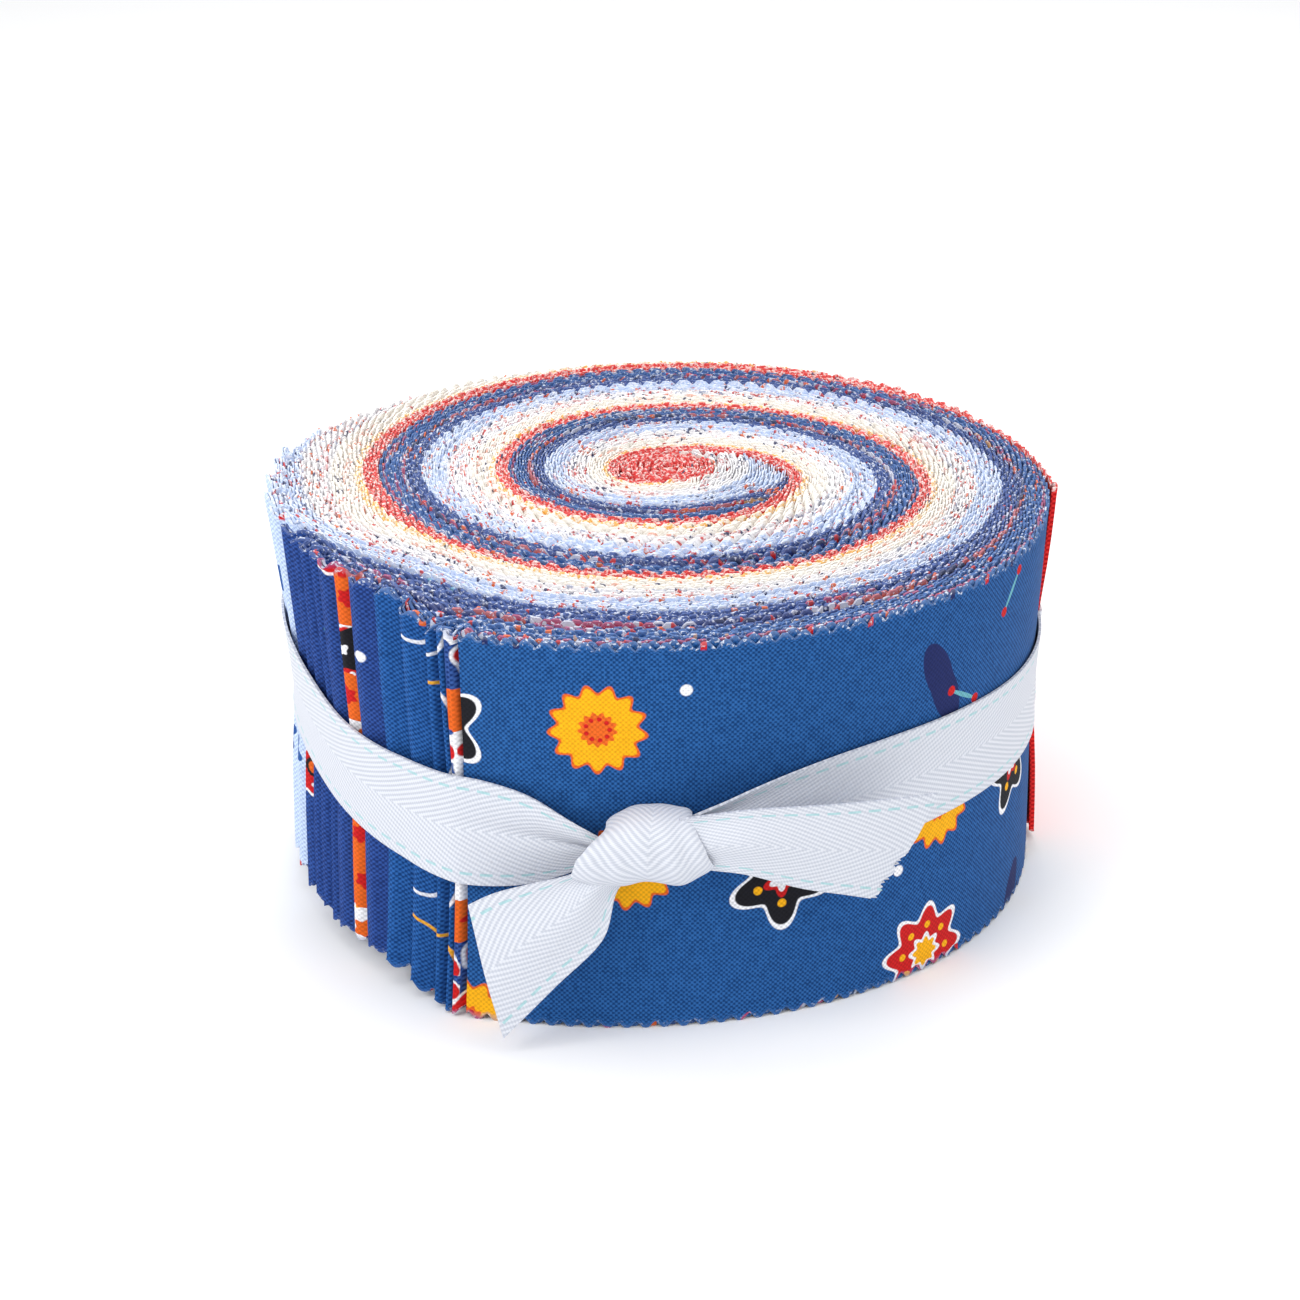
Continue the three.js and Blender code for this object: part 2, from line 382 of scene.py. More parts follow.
def heartRadius(angle):              # from the winding's centre to the edge of the heart
    x, y = np.cos(np.radians(angle)), -np.sin(np.radians(angle))
    (cx, cy), (a, b) = heart["centre"], heart["half"]
    p = x * x / a ** 2 + y * y / b ** 2
    q = x * cx / a ** 2 + y * cy / b ** 2
    rest = cx * cx / a ** 2 + cy * cy / b ** 2 - 1
    return (q + np.sqrt(np.maximum(q * q - p * rest, 0))) / p


def stackRadius(turns, depth):       # depth is counted in folded strips from the inner face
    outer = smooth(turns, *(outerTurn + off for off in winding["outerFade"]))
    angle = 360 * (turns - outerTurn)
    outside = evenSpiral(turns + 1) + winding["stripCount"] * slack(angle)
    outside = np.where(angle > wallEnds["angle"][0], wallRadius(angle), outside)
    inside = spiralRadius(turns)
    outside = outside * outer + spiralRadius(turns + 1) * (1 - outer)
    extra = np.interp(angle, pucker["angle"], pucker["extra"]) * outer
    left = np.where(turns > outerTurn, stripsLeft(angle, foldEnds), winding["stripCount"])
    left = np.maximum(left, depth)
    slackened = [value + extra * np.maximum(value - winding["puckered"], 0) for value in (depth, left)]
    return inside + (outside - inside) * slackened[0] / slackened[1]


def layerRadius(turns, depth):
    top = math.floor(depth) + 1
    outer = stackRadius(turns, top)
    room = np.clip(outer - stackRadius(turns, top - 1), *winding["layerGap"])
    tight = outer - (top - depth) * room
    looseDepth = (depth - heart["looseFrom"]) * heart["loosePitch"]
    loose = heartRadius(360 * turns) + looseDepth
    share = 1 - smooth(turns, *heart["looseTurns"])
    return tight + share * (loose - tight)


fineTurns = np.linspace(-0.3, 3.03, 9000)  # the whole winding, finely divided


def startTurn(depth):                # where a strip's cut end lies in the middle of the roll
    early = fineTurns[fineTurns < heart["startBefore"]]
    radius = layerRadius(early, depth)
    inside, outside = heart["room"]
    fits = (radius > heartRadius(360 * early) + inside) & (radius < spiralRadius(early + 1) - outside)
    tight = np.flatnonzero(~fits)
    return early[tight[-1] + 1] if len(tight) else early[0]


# Pinked teeth: how far the cut edge lies below the tips, by place in teeth along the strip

def toothDrop(teeth):
    off = np.abs(2 * (teeth - np.floor(teeth)) - 1)
    low, high = winding["toothRound"]
    return winding["toothDepth"] * smooth(off, low, high) / smooth(1.0, low, high)


def waver(waves, along, starts):     # slow waves along a strip
    return sum(size * np.sin(along / long + start) for (size, long), start in zip(waves, starts))


class Strip:                         # one folded strip and its own small accidents
    def __init__(self, rank):
        self.rank = rank
        self.depth = winding["stripCount"] - 1 - rank
        self.fold = outerTurn + foldAngle(rank) / 360
        self.teethOff = rng.normal(0, accidents["teeth"])
        self.heightOff = rng.normal(0, accidents["height"])
        self.waves = rng.uniform(0, 2 * np.pi, 4)
        self.bow = rng.normal(*accidents["bow"])
        shown = outerTurn + (foldAngle(rank - 1) if rank else 0) / 360
        self.split = shown - winding["splitBack"] / 360 if rank else outerTurn + 1 / 360

    def tracks(self, side):          # its place in the stack, and in millimetres and teeth along it
        depth = self.depth + layerDepths[side]
        step = fineTurns[1] - fineTurns[0]
        along = np.cumsum(2 * np.pi * np.maximum(layerRadius(fineTurns, depth), 0.3)) * step
        drift = waver(accidents["teethWaves"], along, self.waves[:2])
        return depth, along, along / winding["toothPitch"] + self.teethOff + drift

    def run(self, side, start, end, stepsPerTooth):
        depth, along, teeth = self.tracks(side)
        if side == "outer":          # both layers meet at the same tooth in the fold
            inner = self.tracks("inner")[2]
            ours, theirs = (np.interp(self.fold, fineTurns, track) for track in (teeth, inner))
            off = (ours - theirs + 0.5) % 1 - 0.5
            left = np.interp(self.fold, fineTurns, along) - along
            teeth = teeth - off * np.exp(-np.maximum(left, 0) / 12)
        low, high = (np.interp(turn, fineTurns, teeth) for turn in (start, end))
        between = np.arange(np.ceil(low * stepsPerTooth), np.floor(high * stepsPerTooth) + 1) / stepsPerTooth
        between = between[(between > low + 0.03) & (between < high - 0.03)]
        places = np.concatenate([[low], between, [high]])
        turns = np.interp(places, teeth, fineTurns)
        length = np.interp(turns, fineTurns, along)
        made = Path(self, turns, layerRadius(turns, depth), toothDrop(places), length)
        room = stackRadius(turns, self.depth + 1) - stackRadius(turns, self.depth)
        made.tip = np.clip(room * 0.45, winding["layer"], winding["frayed"])
        return made


class Path:                          # columns of points along a layer, seen from above
    def __init__(self, strip, turns, radius, drop, along):
        angle = 2 * np.pi * turns
        self.strip, self.turns, self.drop, self.along = strip, turns, drop, along
        self.centre = np.stack([radius * np.cos(angle), -radius * np.sin(angle)], 1)
        self.tip = np.full(len(turns), winding["layer"])

    def joined(self, other):         # this layer, round the fold, and back along the other
        (x0, y0), (x1, y1) = self.centre[-1], other.centre[-1]
        ahead = self.centre[-1] - self.centre[-2]
        ahead = ahead / np.linalg.norm(ahead) * math.hypot(x1 - x0, y1 - y0) * 0.75
        middle = (self.centre[-1] + other.centre[-1]) / 2
        half = (self.centre[-1] - other.centre[-1]) / 2
        bend = np.linspace(0, np.pi, 7)[1:-1, None]
        share = np.linspace(0, 1, 7)[1:-1]
        across = other.along[-1] - other.along[::-1]
        made = Path(self.strip, self.turns, 0 * self.turns, self.drop, self.along)
        turned = middle + half * np.cos(bend) + ahead * np.sin(bend)
        drop = self.drop[-1] + share * (other.drop[-1] - self.drop[-1])
        made.centre = np.concatenate([self.centre, turned, other.centre[::-1]])
        made.turns = np.concatenate([self.turns, np.full(5, self.turns[-1]), other.turns[::-1]])
        made.drop = np.concatenate([self.drop, drop, other.drop[::-1]])
        end = self.along[-1]
        made.along = np.concatenate([self.along, end + 0.6 * share, end + 0.6 + across])
        made.tip = np.concatenate([self.tip, np.full(5, winding["layer"]), other.tip[::-1]])
        return made


def pushOut(path, rows, below, toFold, rough):  # how far each point stands off the even winding
    strip, share = path.strip, rows / rows[-1]
    angle = np.mod(360 * path.turns, 360)
    squeeze = np.where(path.turns > settle["outerFrom"], np.exp(-below / settle["squeezeIn"]), 0)
    push = -squeeze[:, None] * wallInset(angle[:, None], rows[None])
    push[:, -1] += rough
    if strip.rank <= settle["flareStrips"]:
        flare = winding["flareOut"] * np.maximum(1 - share / settle["flareShare"], 0) ** 2
        push += np.outer(np.exp(-toFold / settle["flareBack"]), flare)
    flattened, level, spread = settle["tied"]
    tied = 1 - flattened * np.exp(-((share - level) / spread) ** 2)
    push += np.outer(pleatPush(path.turns) * np.exp(-below / settle["pleatIn"]), tied)
    if strip.rank == winding["stripCount"] - 1:
        level, spread = settle["held"]
        free = 1 - np.exp(-((share - level) / spread) ** 2)
        push += np.outer(winding["flapRise"] * np.exp(-toFold / settle["flapBack"]), free)
    return push


def standUp(path, rows):             # the shell of a layer: its outside upwards, then its inside downwards
    strip, centre = path.strip, path.centre
    ahead = np.gradient(centre, axis=0)
    ahead /= np.maximum(np.linalg.norm(ahead, axis=1, keepdims=True), 1e-9)
    side = np.stack([ahead[:, 1], -ahead[:, 0]], 1)
    radius = np.linalg.norm(centre, axis=1)
    radial = centre / np.maximum(radius[:, None], 1e-9)
    forward = np.stack([radial[:, 1], -radial[:, 0]], 1)
    angle = np.mod(360 * path.turns, 360)
    below = np.maximum(wallRadius(angle) - radius, 0)
    toFold = np.maximum(strip.fold - path.turns, 0) * 2 * np.pi * np.maximum(radius, 1)
    up = smooth(angle, *winding["liftStart"]) * (1 - smooth(angle, *winding["liftEnd"]))
    nearWall = np.where(path.turns > settle["outerFrom"], np.exp(-(below / settle["liftIn"]) ** 2), 0)
    up = winding["lift"] * up * nearWall
    off = strip.heightOff + waver(accidents["heightWaves"], path.along, strip.waves[2:])
    rough = rng.normal(0, 1, (2, len(centre))) * np.array(winding["roughEdge"])[:, None]
    height = np.tile(rows, (len(centre), 1)) + up[:, None]
    height[:, 0] = np.maximum(up + off, 0) + path.drop + (winding["tucked"] if strip.rank else 0)
    height[:, -1] = rows[-1] + np.minimum(up + off + rough[0], up + accidents["standOut"]) - path.drop
    push = pushOut(path, rows, below, toFold, rough[1])
    bow = strip.bow * np.sin(np.pi * (rows / rows[-1]))
    slide = np.outer(np.exp(-toFold / settle["bowBack"]), bow)
    thicker = smooth(rows, settle["frayFrom"], winding["stripWidth"])
    thick = winding["layer"] + np.outer(path.tip - winding["layer"], thicker)
    shell = []
    for sign, order in ((1, slice(None)), (-1, slice(None, None, -1))):
        flat = centre[:, None] + side[:, None] * sign * thick[:, :, None] / 2
        flat = flat + radial[:, None] * push[:, :, None] + forward[:, None] * slide[:, :, None]
        shell.append(np.concatenate([flat, height[:, :, None]], 2)[:, order])
    points = np.concatenate(shell, 1)
    across = np.tile(np.concatenate([rows, rows[::-1]]), (len(centre), 1))
    along = np.tile(path.along[:, None] + winding["printShift"] * strip.rank, (1, across.shape[1]))
    return points, np.stack([along, across], 2)


def gridFaces(columns, ring, start):  # quads of a tube of columns, and its two flat ends
    k, j = np.meshgrid(np.arange(columns - 1), np.arange(ring), indexing="ij")
    here, there = k * ring, (k + 1) * ring
    after = (j + 1) % ring
    quads = np.stack([here + j, there + j, there + after, here + after], 2).reshape(-1, 4)
    i = np.arange(ring // 2 - 1)
    cap = np.stack([i, i + 1, ring - 2 - i, ring - 1 - i], 1)
    return np.concatenate([quads, cap, cap[:, ::-1] + (columns - 1) * ring]) + start


def makePiece(name, shells, material):  # one mesh from shells of (points, cloth places)
    points, faces, places, start = [], [], [], 0
    for grid, flat in shells:
        columns, ring = grid.shape[:2]
        faces.append(gridFaces(columns, ring, start))
        points.append(grid.reshape(-1, 3))
        places.append(flat.reshape(-1, 2))
        start += columns * ring
    points, faces, places = (np.concatenate(part) for part in (points, faces, places))
    mesh = bpy.data.meshes.new(name)
    mesh.from_pydata((points * mm).tolist(), [], faces.tolist())
    corners = np.empty(len(mesh.loops), np.int32)
    mesh.loops.foreach_get("vertex_index", corners)
    mesh.uv_layers.new(name="cloth").data.foreach_set("uv", (places[corners] * mm).ravel())
    mesh.materials.append(material)
    piece = bpy.data.objects.new(name, mesh)
    scene.collection.objects.link(piece)
    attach(piece, "root")
    print(name, "has", 2 * len(faces), "triangles")
    return piece


def smoothPiece(piece, degrees):
    bpy.ops.object.select_all(action="DESELECT")
    piece.select_set(True)
    bpy.context.view_layer.objects.active = piece
    bpy.ops.object.shade_smooth_by_angle(angle=math.radians(degrees))


# Cotton: a plain weave, a print, and frayed pinked edges

# shade: how strongly painted light and shade lighten the weave's threads and darken its hollows
weave = {"thread": 0.4, "share": 0.75, "shade": 0.36, "bump": 0.4, "bumpDepth": 0.06}
inks = {
    "yellow": (240, 172, 22), "orange": (222, 98, 32), "red": (196, 28, 30), "white": (236, 236, 240),
    "navy": (30, 40, 92), "teal": (104, 170, 182), "black": (26, 26, 32), "blue": (34, 82, 150),
}

# Motifs: radii of the rings from the outside in and their inks, and a ring of beads if there is one
daisy = {
    "petals": 8, "wave": 0.16, "squash": 1,
    "rings": (7.4, 6.7, 2.9, 2.2), "inks": ("white", "red", "white", "yellow"),
    "beads": (8, 4.6, 0.6, "yellow"),
}
aster = {
    "petals": 13, "wave": 0.1, "squash": 1,
    "rings": (6.6, 6.1, 2.6), "inks": ("orange", "yellow", "orange"),
    "beads": (9, 1.7, 0.35, "red"),
}
star = {
    "petals": 5, "wave": 0.24, "squash": 1,
    "rings": (6.8, 6.1, 2.4, 1.6), "inks": ("white", "black", "red", "white"),
    "beads": (5, 3.9, 0.7, "yellow"),
}
wheel = {
    "petals": 16, "wave": 0.03, "squash": 1,
    "rings": (5.0, 4.5, 1.7, 1.1), "inks": ("white", "red", "black", "orange"),
    "beads": (10, 3.1, 0.35, "white"),
}
leaf = {"petals": 2, "wave": 0.1, "squash": 2.6, "rings": (7.2,), "inks": ("navy",)}
sprig = {
    "petals": 2, "wave": 0, "squash": 9, "rings": (3.4,), "inks": ("teal",),
    "beads": (2, 3.4, 0.8, "red"),
}
bud = {"petals": 4, "wave": 0.3, "squash": 1, "rings": (1.5, 0.6), "inks": ("teal", "white")}
dot = {"petals": 1, "wave": 0, "squash": 1, "rings": (0.9,), "inks": ("white",)}
redBlob = {"petals": 3, "wave": 0.15, "squash": 1.2, "rings": (3.2, 2.8), "inks": ("white", "red")}
redPetals = {"petals": 5, "wave": 0.2, "squash": 1, "rings": (3.4, 1.2), "inks": ("red", "yellow")}
bluePetals = {"petals": 6, "wave": 0.2, "squash": 1, "rings": (3.2, 1.2), "inks": ("blue", "white")}
whitePetals = {"petals": 5, "wave": 0.2, "squash": 1, "rings": (4.6, 1.6), "inks": ("white", "orange")}
blackPetals = {"petals": 4, "wave": 0.2, "squash": 1.4, "rings": (4.6, 1.0), "inks": ("black", "white")}
sunPetals = {"petals": 6, "wave": 0.16, "squash": 1, "rings": (4.6, 1.4), "inks": ("orange", "red")}

# How motifs are moved and turned in their cells, and how soft their outlines are
printing = {"shift": 0.25, "swing": 6.28, "fullTurn": 6.2832, "soft": 0.14, "beadSoft": 0.1}

# Squares of the check: where they start, their size and line, and which are left out or yellow
squares = {"off": (0.2, 0.31), "half": 0.4, "line": (0.15, 0.35), "bareBelow": 0.4, "yellowAbove": 0.7}
edges = {                            # the frayed edge, by its distance from the cut
    "fade": (0.1, 1.4),
    "speckFade": (1.0, 1.6),
    "speckPitch": 0.9,
    "thread": 0.4,                   # share of the threads' colour in it
    "fibres": 1900,                  # how fine the loose fibres are
    "soft": 0.05,
    "bottom": 0.6,                   # how much less frayed the bottom edge is
    "bump": 3,
}

cottons = {                          # colours of the cloth, its threads, its frayed edge and its prints
    "print": {
        "base": (8, 58, 114), "thread": (48, 104, 170), "tip": (230, 237, 250), "specks": 0.03,
        "fray": 0.8, "bare": 0.62,
        "prints": (
            {"cell": 25, "seed": 7.4, "motifs": ((0.12, daisy), (0.18, aster), (0.2, star), (0.2, leaf))},
            {"cell": 12, "seed": 5.3, "motifs": ((0.1, sprig), (0.07, bud), (0.07, dot))},
        ),
    },
    "redPrint": {
        "base": (22, 50, 112), "thread": (60, 96, 164), "tip": (228, 234, 248), "specks": 0.1,
        "fray": 0.8, "bare": 0.62,
        "prints": (
            {"cell": 7, "seed": 3.7, "motifs": ((0.6, redBlob), (0.15, whitePetals), (0.1, sunPetals))},
            {"cell": 5, "seed": 4.9, "motifs": ((0.3, redBlob), (0.1, dot))},
        ),
    },
    "check": {
        "base": (10, 60, 120), "thread": (48, 104, 176), "tip": (230, 237, 250), "specks": 0.04,
        "fray": 0.8, "bare": 0.62,
        "prints": ({"cell": 16, "seed": 4.4, "motifs": ((0.05, wheel), (0.05, redBlob))},), "grid": 21,
    },
    "bright": {
        "base": (30, 44, 102), "thread": (60, 82, 146), "tip": (230, 232, 246), "specks": 0.15,
        "fray": 0.8, "bare": 0.62,
        "prints": (
            {"cell": 11, "seed": 8.8, "motifs": ((0.34, wheel), (0.22, daisy))},
            {"cell": 8, "seed": 6.6, "motifs": ((0.24, blackPetals), (0.24, sunPetals), (0.2, whitePetals))},
        ),
    },
    "navy": {
        "base": (26, 50, 110), "thread": (52, 88, 164), "tip": (228, 235, 250), "specks": 0.04,
        "fray": 0.8, "bare": 0.6,
        "prints": (
            {"cell": 24, "seed": 1.9, "motifs": ((0.12, wheel),)},
            {"cell": 14, "seed": 5.3, "motifs": ((0.1, bud), (0.1, dot))},
        ),
    },
    "lightBlue": {
        "base": (180, 200, 236), "thread": (204, 219, 244), "tip": (234, 238, 249), "specks": 0.12,
        "fray": 0.9, "bare": 0.52,
        "prints": ({"cell": 9, "seed": 6.2, "motifs": ((0.45, bluePetals), (0.05, redPetals))},),
    },
    "white": {
        "base": (232, 230, 234), "thread": (242, 241, 243), "tip": (248, 247, 248), "specks": 0.18,
        "fray": 0.9, "bare": 0.5,
        "prints": ({"cell": 11, "seed": 7.5, "motifs": ((0.3, redPetals), (0.3, bluePetals))},),
    },
    "cream": {
        "base": (236, 229, 218), "thread": (246, 241, 233), "tip": (249, 246, 242), "specks": 0.07,
        "fray": 0.9, "bare": 0.5,
        "prints": ({"cell": 14, "seed": 8.1, "motifs": ((0.2, sunPetals),)},),
    },
    "ochre": {
        "base": (240, 160, 40), "thread": (252, 206, 110), "tip": (252, 246, 236), "specks": 0.08,
        "fray": 1.0, "bare": 0.47,
        "prints": ({"cell": 12, "seed": 9.6, "motifs": ((0.3, dot),)},),
    },
    "red": {
        "base": (200, 16, 22), "thread": (232, 52, 48), "tip": (252, 228, 224), "specks": 0.04,
        "fray": 0.85, "bare": 0.53,
        "prints": ({"cell": 12, "seed": 3.3, "motifs": ((0.3, dot),)},),
    },
}


def reach(sheet, x, y):
    return sheet.node("ShaderNodeVectorMath", {"operation": "LENGTH"}, [sheet.vector(x, y)], 1)


def addPrint(sheet, color, along, across, grid):  # one turned motif or none in each cell
    cell, seed = grid["cell"], grid["seed"]
    x, y = along / cell + seed, across / cell + seed / 3
    chance, shift, swing = sheet.random(sheet.vector(x.whole(), y.whole(), seed))
    x = (x.part() - 0.5 + (shift - 0.5) * printing["shift"]) * cell
    y = (y.part() - 0.5 + (swing - 0.5) * printing["shift"]) * cell
    cosine, sine = (swing * printing["swing"]).cosine(), (swing * printing["swing"]).sine()
    x, y = x * cosine + y * sine, y * cosine - x * sine
    turn = sheet.node("ShaderNodeMath", {"operation": "ARCTAN2"}, [y, x])
    low = 0.0
    for share, motif in grid["motifs"]:
        here = chance.above(low) * chance.below(low + share)
        low += share
        away = reach(sheet, x, y * motif["squash"])
        edge = 1 + motif["wave"] * (turn * motif["petals"]).cosine()
        for ring, ink in zip(motif["rings"], motif["inks"]):
            inside = (edge * ring - away).ramp(-printing["soft"], printing["soft"])
            color = sheet.mix(here * inside, color, srgb(*inks[ink]))
        if "beads" in motif:
            count, radius, size, ink = motif["beads"]
            whole = printing["fullTurn"]
            step = ((turn * (count / whole) + 0.5).part() - 0.5) * (whole * radius / count)
            bead = reach(sheet, step, reach(sheet, x, y) - radius)
            inside = (size - bead).ramp(-printing["beadSoft"], printing["beadSoft"])
            color = sheet.mix(here * inside, color, srgb(*inks[ink]))
    return color


def addGrid(sheet, color, along, across, step):  # thin rounded squares, some white and some yellow
    x, y = along / step + squares["off"][0], across / step + squares["off"][1]
    chance, other, _ = sheet.random(sheet.vector(x.whole(), y.whole(), 0.5))
    x, y = ((value.part() - 0.5) * step for value in (x, y))
    away = ((x * x) * (x * x) + (y * y) * (y * y)).power(0.25)
    line = 1 - (away - squares["half"] * step).size().ramp(*squares["line"])
    pale = sheet.mix(other.above(squares["yellowAbove"]), srgb(*inks["white"]), srgb(*inks["yellow"]))
    return sheet.mix(line * chance.above(squares["bareBelow"]) * 0.9, color, pale)


def makeCotton(name):
    look = cottons[name]
    sheet = Sheet(name + "Cotton", **{"Roughness": 0.92, "Specular IOR Level": 0.15, "Sheen Weight": 0.04})
    along, across = sheet.clothPlace()
    place = sheet.objectPlace()
    turn = math.pi / weave["thread"]
    woven = (along * turn).sine() * (across * turn).sine()
    slubs = [sheet.noise(sheet.vector(along * a, across * b), 1.0) for a, b in ((0.35, 4), (4, 0.35))]
    threads = (woven * 0.5 + 0.5 + (slubs[0] + slubs[1] - 1) * 0.8).ramp(0, 1)
    color = sheet.mix(threads * weave["share"], srgb(*look["base"]), srgb(*look["thread"]))
    if "grid" in look:
        color = addGrid(sheet, color, along, across, look["grid"])
    for grid in look["prints"]:
        color = addPrint(sheet, color, along, across, grid)
    half = winding["stripWidth"] / 2
    toEdge = half - (across - half).size()
    edge = 1 - toEdge.ramp(*edges["fade"])
    cells = sheet.vector((along / edges["speckPitch"]).whole(), across.above(half), 0.7)
    chance, which, other = sheet.random(cells)
    dark = sheet.mix(which.above(0.5), srgb(*inks["navy"]), srgb(*inks["red"]))
    speck = sheet.mix(other.above(0.7), dark, srgb(*inks["orange"]))
    color = sheet.mix(edge * edges["thread"], color, srgb(*look["thread"]))
    color = sheet.mix(chance.below(look["specks"]) * (1 - toEdge.ramp(*edges["speckFade"])), color, speck)
    bare, soft = look["bare"], edges["soft"]
    fibres = sheet.noise(place, edges["fibres"]).ramp(bare - soft, bare + soft)
    fluff = edge * (fibres + (edge - 0.6) * 0.3) * (across.above(half) * edges["bottom"] + 0.4)
    color = sheet.mix(fluff * look["fray"], color, srgb(*look["tip"]))
    patches = sheet.noise(place, 320).ramp(0.25, 0.75)
    # painted light and shade on the weave: lighter on its threads and darker in its hollows, and random
    # patches of tone a little darker
    shade = 1 + weave["shade"] * (threads - 0.5) * (1 - edge) - (1 - patches) * 0.05
    color = sheet.node("ShaderNodeVectorMath", {"operation": "SCALE"}, {0: color, 3: shade})
    sheet.feed("Base Color", color)
    height = threads * (1 - edge) + fibres * edge * edges["bump"]
    bump = {"Height": height, "Strength": weave["bump"], "Distance": weave["bumpDepth"] * mm}
    sheet.feed("Normal", sheet.node("ShaderNodeBump", {}, bump))
    return sheet.material


families = [                         # the strips of each colour, counted from the outermost
    {"name": "printStrip", "cotton": "print", "ranks": (0,)},
    {"name": "redPrintStrip", "cotton": "redPrint", "ranks": (1,)},
    {"name": "checkStrips", "cotton": "check", "ranks": (2, 3, 4, 5)},
    {"name": "brightStrip", "cotton": "bright", "ranks": (7,)},
    {"name": "navyStrips", "cotton": "navy", "ranks": (6, 8, 9, 10, 11, 12)},
    {"name": "lightBlueStrips", "cotton": "lightBlue", "ranks": range(13, 21)},
    {"name": "whiteStrips", "cotton": "white", "ranks": range(21, 28)},
    {"name": "creamStrips", "cotton": "cream", "ranks": range(28, 34)},
    {"name": "ochreStrips", "cotton": "ochre", "ranks": (34, 35)},
    {"name": "redStrips", "cotton": "red", "ranks": range(36, 40)},
]
steps = {"woundPerTooth": 3, "outsidePerTooth": 8, "foldsPerTooth": 12}  # columns of points
woundRows = np.array([0, 33, 63.5])  # heights of the rows of points
outsideRows = np.array([0, 1.6, 5, 9.5, 14, 20, 26.5, 33, 39, 44.5, 50, 55, 59, 61.9, 63.5])


def woundShells(strip):              # the hidden part of both layers, from the middle of the roll
    shells = []
    for side, off in layerDepths.items():
        start = startTurn(strip.depth + off)
        path = strip.run(side, start, strip.split, steps["woundPerTooth"])
        shells.append(standUp(path, woundRows))
    return shells


def outsideShell(strip):             # the part that shows on the wall, with its fold
    wide = strip.rank in (0, winding["stripCount"] - 1)
    perTooth = steps["outsidePerTooth"] if wide else steps["foldsPerTooth"]
    inner, outer = (strip.run(side, strip.split, strip.fold, perTooth) for side in layerDepths)
    return standUp(inner.joined(outer), outsideRows)


def heartShells():                   # the innermost strips curl up in the middle
    shells = []
    (cx, cy), (a, b) = heart["centre"], heart["half"]
    for strip in allStrips[-heart["strips"]:]:
        for off in layerDepths.values():
            curl = np.arange(*heart["curl"])
            thick = (strip.depth + off) * winding["foldedStrip"] * np.clip(1 + curl, 0, 1)
            size = 1 - (heart["curlPitch"] * np.maximum(curl, 0) + thick) / (0.5 * (a + b))
            curl, size = curl[size > heart["hollow"]], size[size > heart["hollow"]]
            blank = np.zeros(len(curl))
            path = Path(strip, blank, blank, blank, blank)
            turn = 2 * np.pi * (curl - heart["curlShift"])
            path.centre = np.stack([cx + a * size * np.cos(turn), cy - b * size * np.sin(turn)], 1)
            path.turns = np.ones(len(curl))
            path.along = walked(path.centre)
            path.drop = toothDrop(path.along / winding["toothPitch"] + strip.teethOff)
            shells.append(standUp(path, woundRows))
    return shells


def clothLength(shells):             # flat length of strip in these shells, in metres
    return sum(np.linalg.norm(np.diff(points[:, 0, :2], axis=0), axis=1).sum() for points, _ in shells) * mm


allStrips = [Strip(rank) for rank in range(winding["stripCount"])]
for family in families:
    strips = [allStrips[rank] for rank in family["ranks"]]
    cotton = makeCotton(family["cotton"])
    wound = [shell for strip in strips for shell in woundShells(strip)]
    if family["name"] == "redStrips":
        wound += heartShells()
    outside = [outsideShell(strip) for strip in strips]
    for name, shells in ((family["name"], wound), (family["name"] + "Outside", outside)):
        piece = makePiece(name, shells, cotton)
        flat = (winding["stripWidth"] * mm, clothLength(shells))
        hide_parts("roll")
    smoothPiece(piece, 40)           # only the part on the wall is shaded smooth
print("strips wound")


# Ribbon

ribbon = {
    "width": 16.5,
    "thick": 0.4,
    "dashAt": 6.6, "dashHalf": 0.15, "dashPitch": 3.2, "dashShare": 0.62,
    "twillPitch": 0.8, "twillSlope": 0.45,
    "lay": 0.5,                      # from the smooth wall to the middle of the band
    # the grooves' colour is the ribbon's white with painted shade in the twill's hollows
    "groove": (188, 193, 205), "ridge": (220, 223, 231),
    "dash": (128, 198, 200), "beading": (120, 126, 150),
    "bump": 0.45, "bumpDepth": 0.14,
}
bandRows = {                         # height of the band's two edges, round the roll
    "angle": (100, 104, 109, 115, 123, 131, 140, 150, 165, 185, 235,
              300, 345, 387, 407, 420, 429, 435, 440, 444, 449),
    "top": (33.4, 35.8, 38.9, 40.4, 40.1, 39.9, 40.8, 43.8, 46.3, 47.4, 46.8,
            43.8, 42.3, 42.1, 43.1, 43.1, 42.2, 40.9, 39.4, 38.0, 36.6),
    "bottom": (29.5, 27.0, 24.6, 23.1, 22.6, 23.4, 25.1, 27.9, 30.2, 30.9, 30.2,
               27.2, 25.6, 26.0, 26.4, 26.3, 26.9, 28.0, 29.2, 30.4, 31.4),
}
leftTail = [                         # a free end's two edges, from inside the knot to the cut
    {"top": (-7, -66, 33.0), "bottom": (-4, -66, 29.5)},
    {"top": (-14.8, -66.8, 29.4), "bottom": (-8.6, -67, 26.7)},
    {"top": (-21.3, -67.2, 27.8), "bottom": (-10.9, -67.8, 18.8)},
    {"top": (-26.4, -67, 26.1), "bottom": (-17.9, -68.6, 11.2)},
    {"top": (-30.1, -66.2, 23.7), "bottom": (-25.5, -69, 2.6)},
]
rightTail = [
    {"top": (-4, -66.6, 37.2), "bottom": (-4, -66.6, 31.6)},
    {"top": (3, -67.4, 38.9), "bottom": (3.8, -67.4, 30.3)},
    {"top": (10.9, -67.5, 40.1), "bottom": (9.5, -68, 29.8)},
    {"top": (21.8, -65, 39.5), "bottom": (17.5, -66, 26.4)},
    {"top": (30.3, -61.5, 38.5), "bottom": (24.2, -64, 24.1)},
    {"top": (37.5, -57.5, 37.3), "bottom": (28.6, -61.5, 21.9)},
]
